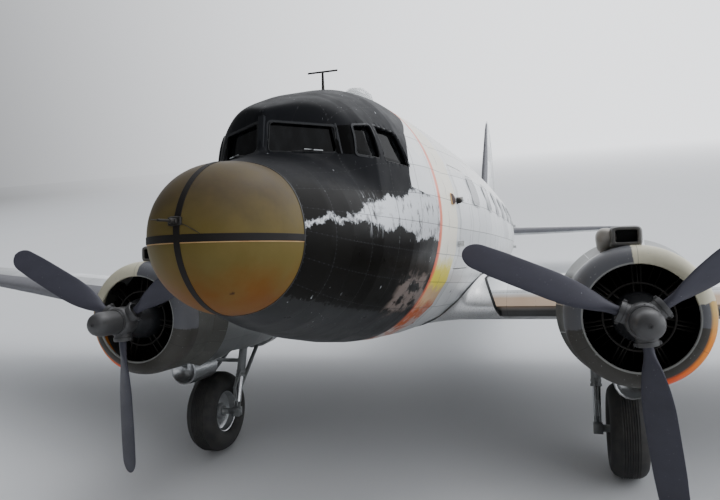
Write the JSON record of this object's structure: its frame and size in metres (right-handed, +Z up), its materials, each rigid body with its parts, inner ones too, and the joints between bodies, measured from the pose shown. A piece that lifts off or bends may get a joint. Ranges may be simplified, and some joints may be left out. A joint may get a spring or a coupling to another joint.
{
  "type": "military transport plane",
  "caption": "Twin-engined propeller transport plane with low wings, a domed nose, cargo doors and a castoring tail wheel, parked on its gear.",
  "frame": {"origin": "middle of the box on the ground, on the centre plane", "axes": "+X to the plane's left (port) wing, -Y to its nose, +Z up; it stands nose-up on its three wheels"},
  "size_m": [29.0466, 19.692, 4.9808],
  "materials": {
    "radome_paint": "aged semi-gloss paint",
    "dark_paint": "gloss, worn",
    "bare_alloy": "satin",
    "grey_paint": "satin",
    "propeller_paint": "satin",
    "steel": "satin",
    "tyre": "matt",
    "glass": "clear",
    "interior_paint": "matt"
  },
  "bodies": {
    "airframe": {"radome": "radome_paint", "nose_section": "dark_paint", "windscreen_left": "glass", "windscreen_right": "glass", "side_window_left": "glass", "side_window_right": "glass", "cockpit_floor": "interior_paint", "instrument_panel": "interior_paint", "bulkhead": "interior_paint", "cabin_front": "bare_alloy", "cabin_rear": "bare_alloy", "cabin_floor": "interior_paint", "astrodome": "glass", "antenna_mast": "steel", "tail_cone": "bare_alloy", "wing_centre_section": "grey_paint", "fin": "grey_paint", "wing_outer_left": "grey_paint", "stabiliser_left": "grey_paint", "nacelle_left": "bare_alloy", "cowling_left": "dark_paint", "engine_left": "steel", "intake_scoop_left": "bare_alloy", "oil_cooler_left": "bare_alloy", "exhaust_left": "steel", "main_gear_left": "grey_paint", "wing_outer_right": "grey_paint", "stabiliser_right": "grey_paint", "nacelle_right": "bare_alloy", "cowling_right": "dark_paint", "engine_right": "steel", "intake_scoop_right": "bare_alloy", "oil_cooler_right": "bare_alloy", "exhaust_right": "steel", "main_gear_right": "grey_paint"},
    "propeller_left": {"propeller_hub_left": "propeller_paint", "blade_left_1": "propeller_paint", "blade_left_2": "propeller_paint", "blade_left_3": "propeller_paint"},
    "main_wheel_left": {"main_tyre_left": "tyre", "main_rim_left": "bare_alloy"},
    "aileron_left": {"aileron_left": "grey_paint"},
    "flap_left": {"flap_left": "grey_paint"},
    "propeller_right": {"propeller_hub_right": "propeller_paint", "blade_right_1": "propeller_paint", "blade_right_2": "propeller_paint", "blade_right_3": "propeller_paint"},
    "main_wheel_right": {"main_tyre_right": "tyre", "main_rim_right": "bare_alloy"},
    "aileron_right": {"aileron_right": "grey_paint"},
    "flap_right": {"flap_right": "grey_paint"},
    "flap_centre": {"flap_centre": "grey_paint"},
    "elevators": {"elevator_left": "grey_paint", "elevator_right": "grey_paint"},
    "rudder": {"rudder": "grey_paint"},
    "crew_door": {"crew_door": "bare_alloy"},
    "cargo_door_front": {"cargo_door_front": "bare_alloy"},
    "cargo_door_rear": {"cargo_door_rear": "bare_alloy"},
    "tail_fork": {"tail_fork": "steel"},
    "tail_wheel": {"tail_wheel": "tyre"}
  },
  "joints": [
    {"name": "propeller_left_spin", "type": "hinge", "parent": "airframe", "child": "propeller_left", "pos_m": [2.82, -6.95755, 2.45858], "axis": [0, 0.9833, -0.1822], "continuous": true},
    {"name": "main_wheel_left_spin", "type": "hinge", "parent": "airframe", "child": "main_wheel_left", "pos_m": [2.82, -5.17153, 0.5715], "axis": [1, 0, 0], "continuous": true},
    {"name": "aileron_left_hinge", "type": "hinge", "parent": "airframe", "child": "aileron_left", "pos_m": [11.21394, -1.25255, 2.12639], "axis": [0.9929, 0.066, 0.0994], "range_deg": [-20, 20]},
    {"name": "flap_left_hinge", "type": "hinge", "parent": "airframe", "child": "flap_left", "pos_m": [6.46819, -1.46266, 1.53053], "axis": [-0.9925, -0.0223, -0.1205], "range_deg": [0, 45]},
    {"name": "propeller_right_spin", "type": "hinge", "parent": "airframe", "child": "propeller_right", "pos_m": [-2.82, -6.95755, 2.45858], "axis": [0, 0.9833, -0.1822], "continuous": true},
    {"name": "main_wheel_right_spin", "type": "hinge", "parent": "airframe", "child": "main_wheel_right", "pos_m": [-2.82, -5.17153, 0.5715], "axis": [1, 0, 0], "continuous": true},
    {"name": "aileron_right_hinge", "type": "hinge", "parent": "airframe", "child": "aileron_right", "pos_m": [-11.21394, -1.25255, 2.12639], "axis": [0.9929, -0.066, -0.0994], "range_deg": [-20, 20]},
    {"name": "flap_right_hinge", "type": "hinge", "parent": "airframe", "child": "flap_right", "pos_m": [-6.46819, -1.46266, 1.53053], "axis": [-0.9925, 0.0223, 0.1205], "range_deg": [0, 45]},
    {"name": "flap_centre_hinge", "type": "hinge", "parent": "airframe", "child": "flap_centre", "pos_m": [0, -1.51793, 1.23229], "axis": [-1, 0, 0], "range_deg": [0, 45]},
    {"name": "elevator_hinge", "type": "hinge", "parent": "airframe", "child": "elevators", "pos_m": [0, 7.42331, 1.19675], "axis": [1, 0, 0], "range_deg": [-20, 30]},
    {"name": "rudder_hinge", "type": "hinge", "parent": "airframe", "child": "rudder", "pos_m": [0, 8.15462, 2.6732], "axis": [0, 0.1822, 0.9833], "range_deg": [-30, 30]},
    {"name": "crew_door_hinge", "type": "hinge", "parent": "airframe", "child": "crew_door", "pos_m": [1.11157, -6.12337, 3.33771], "axis": [0, -0.1822, -0.9833], "range_deg": [0, 90]},
    {"name": "cargo_door_front_hinge", "type": "hinge", "parent": "airframe", "child": "cargo_door_front", "pos_m": [1.14204, 1.94091, 1.90683], "axis": [0, -0.1822, -0.9833], "range_deg": [0, 105]},
    {"name": "cargo_door_rear_hinge", "type": "hinge", "parent": "airframe", "child": "cargo_door_rear", "pos_m": [0.94718, 3.95851, 1.59852], "axis": [0, 0.1822, 0.9833], "range_deg": [0, 105]},
    {"name": "tail_wheel_swivel", "type": "hinge", "parent": "airframe", "child": "tail_fork", "pos_m": [0, 6.10637, 0.68], "axis": [0, 0, 1], "continuous": true},
    {"name": "tail_wheel_spin", "type": "hinge", "parent": "tail_fork", "child": "tail_wheel", "pos_m": [0, 6.23637, 0.28], "axis": [1, 0, 0], "continuous": true}
  ],
  "couplings": [
    {"joint": "flap_left_hinge", "follows": "flap_centre_hinge", "ratio": 1},
    {"joint": "flap_right_hinge", "follows": "flap_centre_hinge", "ratio": 1},
    {"joint": "aileron_right_hinge", "follows": "aileron_left_hinge", "ratio": -1}
  ]
}
